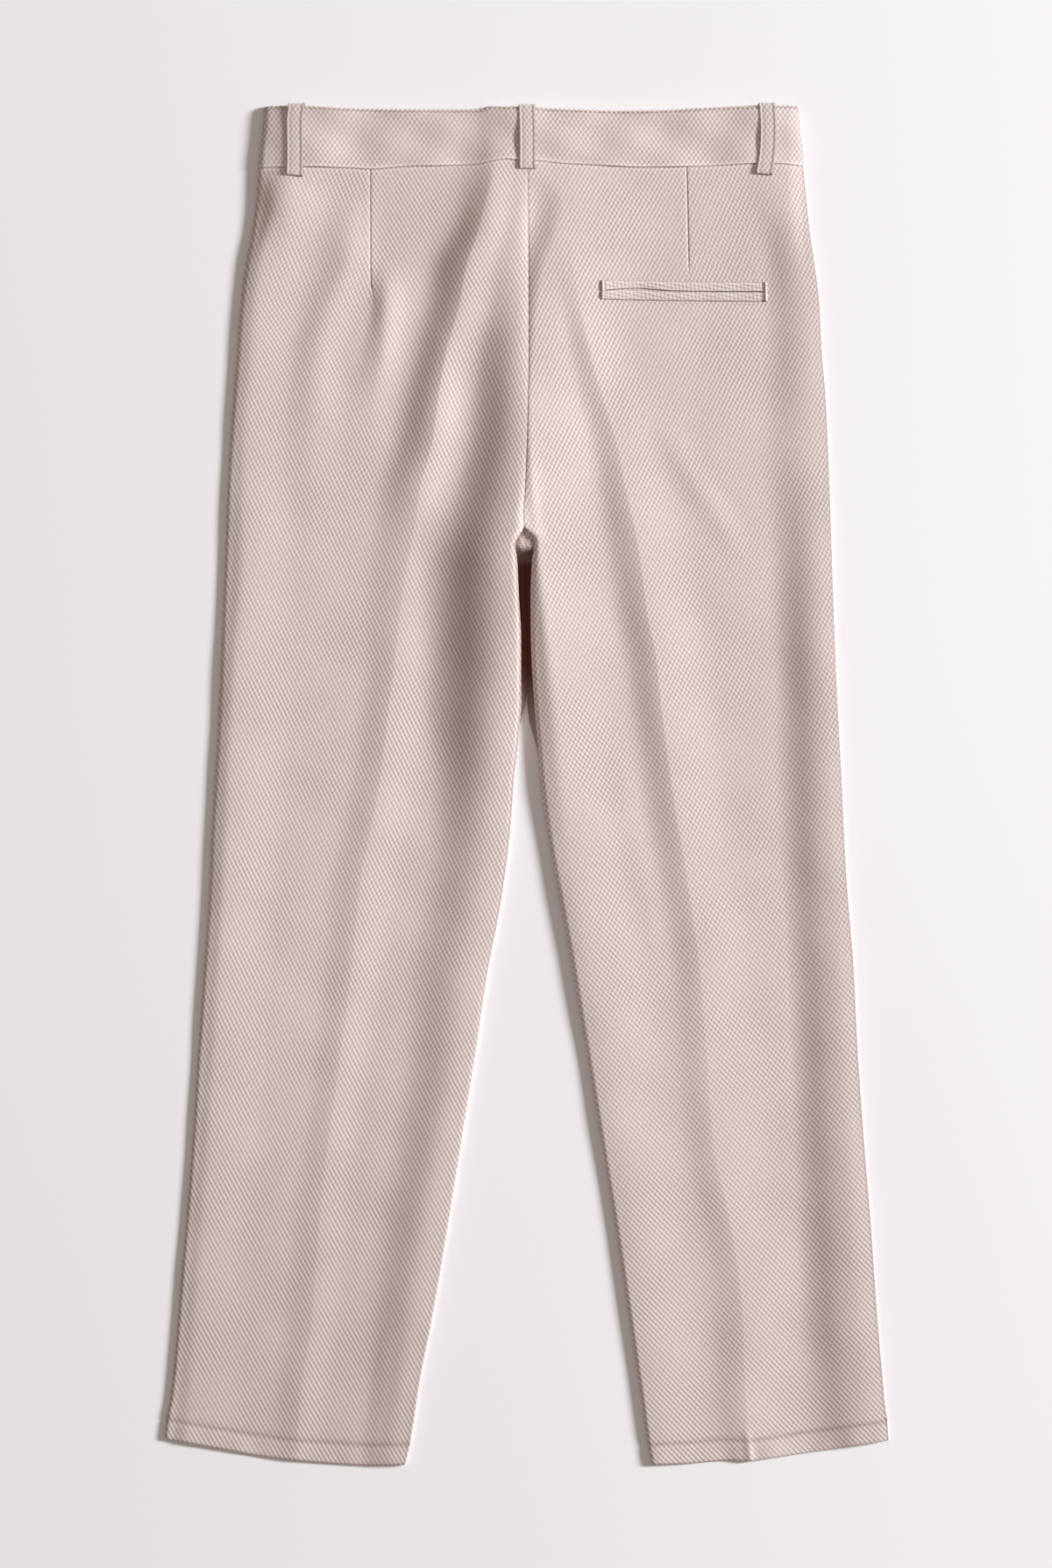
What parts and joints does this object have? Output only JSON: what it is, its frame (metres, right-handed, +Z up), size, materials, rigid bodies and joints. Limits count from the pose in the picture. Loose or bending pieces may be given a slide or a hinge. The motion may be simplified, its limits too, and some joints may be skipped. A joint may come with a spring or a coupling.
{
  "type": "suit trousers",
  "caption": "Tailored suit trousers laid flat, back side up, with a waistband, belt loops, a jetted back pocket and straight legs with pressed creases.",
  "frame": {"origin": "below the middle of the garment's length and width, on the surface that it lies on", "axes": "+X to the right as it is looked down on, which is the wearer's right, +Y from the hems towards the waist, +Z up out of the back of the garment"},
  "size_m": [0.533, 1.0038, 0.0119],
  "materials": {
    "suiting": "matt worsted suiting with a fine bird's-eye weave, pale beige with a warm rose cast",
    "zip_tape": "plain woven tape",
    "steel": "satin nickel-plated steel"
  },
  "bodies": {
    "root": {"back_left": "suiting", "back_right": "suiting", "front_left": "suiting", "front_right": "suiting", "waistband_back": "suiting", "waistband_front_left": "suiting", "waistband_front_right": "suiting", "belt_loop_back_left": "suiting", "belt_loop_back_centre": "suiting", "belt_loop_back_right": "suiting", "belt_loop_front_left": "suiting", "belt_loop_front_right": "suiting", "pocket_welt_upper": "suiting", "pocket_welt_lower": "suiting", "zip_tape": "zip_tape", "zip_slider": "steel", "zip_pull": "steel", "waist_hook": "steel", "waist_bar": "steel"}
  },
  "joints": []
}
